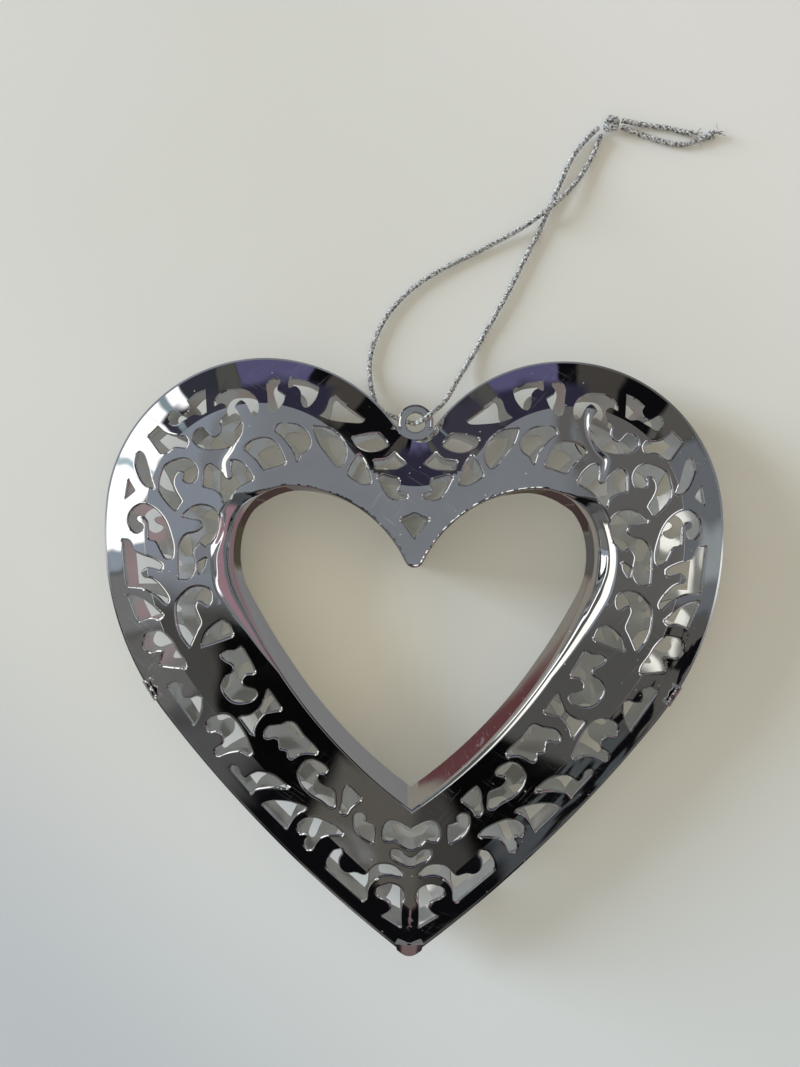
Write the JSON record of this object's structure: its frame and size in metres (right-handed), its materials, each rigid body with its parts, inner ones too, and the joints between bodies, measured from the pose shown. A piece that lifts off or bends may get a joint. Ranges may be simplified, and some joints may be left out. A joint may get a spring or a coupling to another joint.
{
  "type": "heart ornament",
  "caption": "Open heart ornament of mirror chrome sheet, hollow and pierced with scrollwork, hung from a rim lug by a thin tied metallic cord.",
  "frame": {"origin": "centre of the heart's base rectangle, without its cord, on the table under its flat back face", "axes": "+Z out of the front face, +Y towards the hanging lug, +X to the right as seen from the front"},
  "size_m": [0.105, 0.1458, 0.0124],
  "materials": {
    "chrome_front": "bright mirror plating with slight ripples and fine scratches",
    "chrome_back": "bright mirror plating with slight ripples and fine scratches",
    "metallic_cord": "twisted silver thread with a grey core"
  },
  "bodies": {
    "root": {"front_shell": "chrome_front", "back_shell": "chrome_back", "cord_strand_left": "metallic_cord", "cord_strand_right": "metallic_cord", "cord_knot": "metallic_cord", "cord_tail_long": "metallic_cord", "cord_tail_short": "metallic_cord"}
  },
  "joints": []
}
